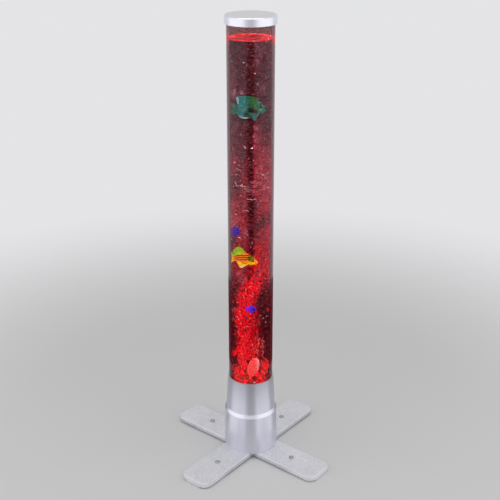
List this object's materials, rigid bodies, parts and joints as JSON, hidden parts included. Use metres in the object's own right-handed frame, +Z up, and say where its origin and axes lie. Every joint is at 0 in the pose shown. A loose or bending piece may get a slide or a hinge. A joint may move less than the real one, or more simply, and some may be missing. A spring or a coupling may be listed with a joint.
{
  "type": "bubble tube floor lamp",
  "caption": "Floor lamp with an upright water-filled acrylic tube, floating fish, stones, an air pump and lights in a round base, and four flat arms.",
  "frame": {"origin": "centre of the lamp's footprint, on the floor", "axes": "+Z up along the tube, -Y towards the front, the four arms on the diagonals of X and Y"},
  "size_m": [0.3286, 0.3286, 1.015],
  "materials": {
    "silver_plastic": "satin silver lacquer on moulded plastic",
    "silver_board": "satin silver lacquer on pressed board, fine metallic grain",
    "bright_steel": "bright zinc-plated steel",
    "core_steel": "dark lacquered laminations and sintered magnet",
    "copper_wire": "lacquered copper wire",
    "black_rubber": "matt black rubber",
    "dark_plastic": "dark grey moulded plastic",
    "white_plastic": "milky white moulded plastic",
    "clear_acrylic": "clear polished acrylic",
    "clear_hose": "clear soft hose",
    "clear_stone": "clear glassy pebbles, lit red from below",
    "pale_stone": "pale frosted pebble, lit red from below",
    "circuit_board": "green circuit board",
    "red_light": "lit red diodes under a clear dome",
    "lead_sleeve": "black sleeve on twin leads",
    "teal_fish": "teal painted plastic with pale fin edges and dark bars",
    "yellow_fish": "orange-yellow painted plastic with a green back fin",
    "purple_fish": "violet-blue painted plastic",
    "blue_ball": "deep blue glossy plastic",
    "red_ball": "red glossy plastic"
  },
  "bodies": {
    "lamp": {"upper_arm_bar": "silver_board", "lower_arm_bar": "silver_board", "arm_screws": "bright_steel", "rubber_feet": "black_rubber", "base_plate": "dark_plastic", "base_screws": "bright_steel", "lower_housing": "silver_plastic", "upper_housing": "silver_plastic", "collar_screws": "bright_steel", "tube_gasket": "black_rubber", "acrylic_tube": "clear_acrylic", "tube_floor": "clear_acrylic", "air_nozzle": "white_plastic", "nozzle_washer": "black_rubber", "nozzle_nut": "white_plastic", "bubble_head": "white_plastic", "gravel": "clear_stone", "top_stones": "clear_stone", "pale_stone": "pale_stone", "red_stone": "clear_stone", "led_board": "circuit_board", "leds": "red_light", "led_board_screws": "bright_steel", "led_lead": "lead_sleeve", "control_board": "circuit_board", "board_parts": "dark_plastic", "mode_switch": "dark_plastic", "cable_gland": "black_rubber", "pump_case": "dark_plastic", "pump_cover": "dark_plastic", "pump_feet": "black_rubber", "pump_core": "core_steel", "pump_bobbin": "white_plastic", "pump_winding": "copper_wire", "pump_lead": "lead_sleeve", "pump_pivot_pin": "bright_steel", "valve_block": "white_plastic", "lower_air_hose": "clear_hose", "check_valve": "white_plastic", "upper_air_hose": "clear_hose"},
    "cap": {"tube_cap": "silver_plastic"},
    "button": {"mode_button": "silver_plastic", "switch_plunger": "white_plastic"},
    "pump_armature": {"pump_arm": "bright_steel", "pump_magnet": "core_steel", "pump_diaphragm": "black_rubber"},
    "teal_swimmer": {"teal_fish": "teal_fish"},
    "yellow_swimmer": {"yellow_fish": "yellow_fish"},
    "purple_swimmer": {"purple_fish": "purple_fish"},
    "blue_floater": {"blue_ball": "blue_ball"},
    "red_floater": {"red_ball": "red_ball"},
    "bead_floater": {"red_bead": "red_ball"}
  },
  "joints": [
    {"name": "cap_lift", "type": "slide", "parent": "lamp", "child": "cap", "axis": [0, 0, 1], "range_m": [0, 0.06]},
    {"name": "mode_button_press", "type": "slide", "parent": "lamp", "child": "button", "axis": [0, -1, 0], "range_m": [0, 0.0015], "stiffness_N_per_m": 250},
    {"name": "pump_arm_swing", "type": "hinge", "parent": "lamp", "child": "pump_armature", "pos_m": [0.032, 0, 0.04], "axis": [0, 0, 1], "range_deg": [-1.1, 1.1], "stiffness_Nm_per_rad": 0.8},
    {"name": "teal_fish_float", "type": "slide", "parent": "lamp", "child": "teal_swimmer", "axis": [0, 0, 1], "range_m": [-0.035, 0.11]},
    {"name": "yellow_fish_float", "type": "slide", "parent": "lamp", "child": "yellow_swimmer", "axis": [0, 0, 1], "range_m": [-0.03, 0.015]},
    {"name": "purple_fish_float", "type": "slide", "parent": "lamp", "child": "purple_swimmer", "axis": [0, 0, 1], "range_m": [-0.08, 0.045]},
    {"name": "blue_ball_float", "type": "slide", "parent": "lamp", "child": "blue_floater", "axis": [0, 0, 1], "range_m": [-0.004, 0.19]},
    {"name": "red_ball_float", "type": "slide", "parent": "lamp", "child": "red_floater", "axis": [0, 0, 1], "range_m": [-0.012, 0.14]},
    {"name": "red_bead_float", "type": "slide", "parent": "lamp", "child": "bead_floater", "axis": [0, 0, 1], "range_m": [-0.08, 0.38]}
  ]
}
